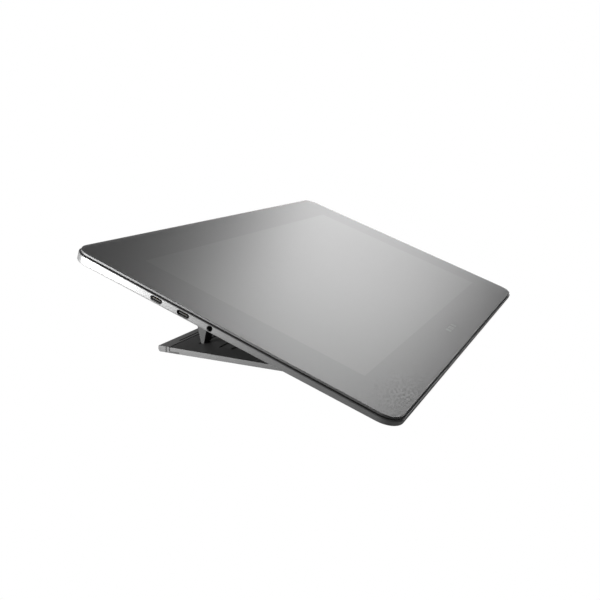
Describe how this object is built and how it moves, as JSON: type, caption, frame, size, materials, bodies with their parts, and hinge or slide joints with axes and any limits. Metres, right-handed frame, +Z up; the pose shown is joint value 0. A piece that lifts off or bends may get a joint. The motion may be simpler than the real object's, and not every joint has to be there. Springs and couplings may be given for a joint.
{
  "type": "pen display tablet",
  "caption": "Flat wedge-thin pen display with a rounded glass front, ports on its side walls, propped at a low angle on a flat folding stand with a hinged prop.",
  "frame": {"origin": "middle of the bottom of the object's box, on the table under the stand's pads", "axes": "+X along the long side to the user's right, +Y to the rear, +Z up; the glass is tilted 19.83 degrees about X"},
  "size_m": [0.36, 0.2229, 0.0852],
  "materials": {
    "glass": "etched",
    "black_rubber": "matte",
    "black_print": "matte",
    "display": "gloss",
    "white_plastic": "matte",
    "board": "satin",
    "aluminium": "satin",
    "housing": "satin",
    "steel": "brushed",
    "copper": "satin",
    "black_plastic": "matte",
    "ribbon": "satin",
    "stand_metal": "satin",
    "stand_plastic": "satin"
  },
  "bodies": {
    "tablet": {"cover_glass": "glass", "glass_gasket": "black_rubber", "border_print": "black_print", "display_panel": "display", "backlight_unit": "white_plastic", "digitizer_board": "board", "chassis_plate": "aluminium", "rear_housing": "housing", "chassis_screws": "steel", "main_board": "board", "board_screws": "steel", "heat_spreader": "copper", "blower_housing": "black_plastic", "usb_sockets": "steel", "audio_jack": "black_plastic", "card_slot": "steel", "port_board_left": "board", "port_board_right": "board", "ribbon_cable": "ribbon", "speakers": "black_plastic", "key_board": "board", "front_feet": "black_rubber", "mount_plate": "stand_metal", "mount_screws": "steel", "hinge_pins": "steel", "prop_shaft": "steel"},
    "base": {"base_plate": "stand_metal", "base_end_bar": "stand_plastic", "base_screws": "steel", "base_pads": "black_rubber"},
    "prop": {"prop_frame": "stand_metal", "prop_tips": "black_rubber"},
    "rotor": {"blower_rotor": "black_plastic"},
    "power_key": {"power_button": "housing"},
    "touch_key": {"touch_switch": "housing"}
  },
  "joints": [
    {"name": "base_fold", "type": "hinge", "parent": "tablet", "child": "base", "pos_m": [0, -0.04879, 0.00761], "axis": [-1, 0, 0], "range_deg": [0, 30]},
    {"name": "prop_fold", "type": "hinge", "parent": "tablet", "child": "prop", "pos_m": [0, 0.06601, 0.05007], "axis": [-1, 0, 0], "range_deg": [0, 70.17]},
    {"name": "blower_spin", "type": "hinge", "parent": "tablet", "child": "rotor", "pos_m": [0.122, 0.04623, 0.05304], "axis": [0, -0.3392, 0.9407], "continuous": true},
    {"name": "power_press", "type": "slide", "parent": "tablet", "child": "power_key", "axis": [0, -0.9407, -0.3392], "range_m": [0, 0.0005], "stiffness_N_per_m": 2000, "springref_m": -0.0005},
    {"name": "touch_slide", "type": "slide", "parent": "tablet", "child": "touch_key", "axis": [1, 0, 0], "range_m": [0, 0.003]}
  ]
}
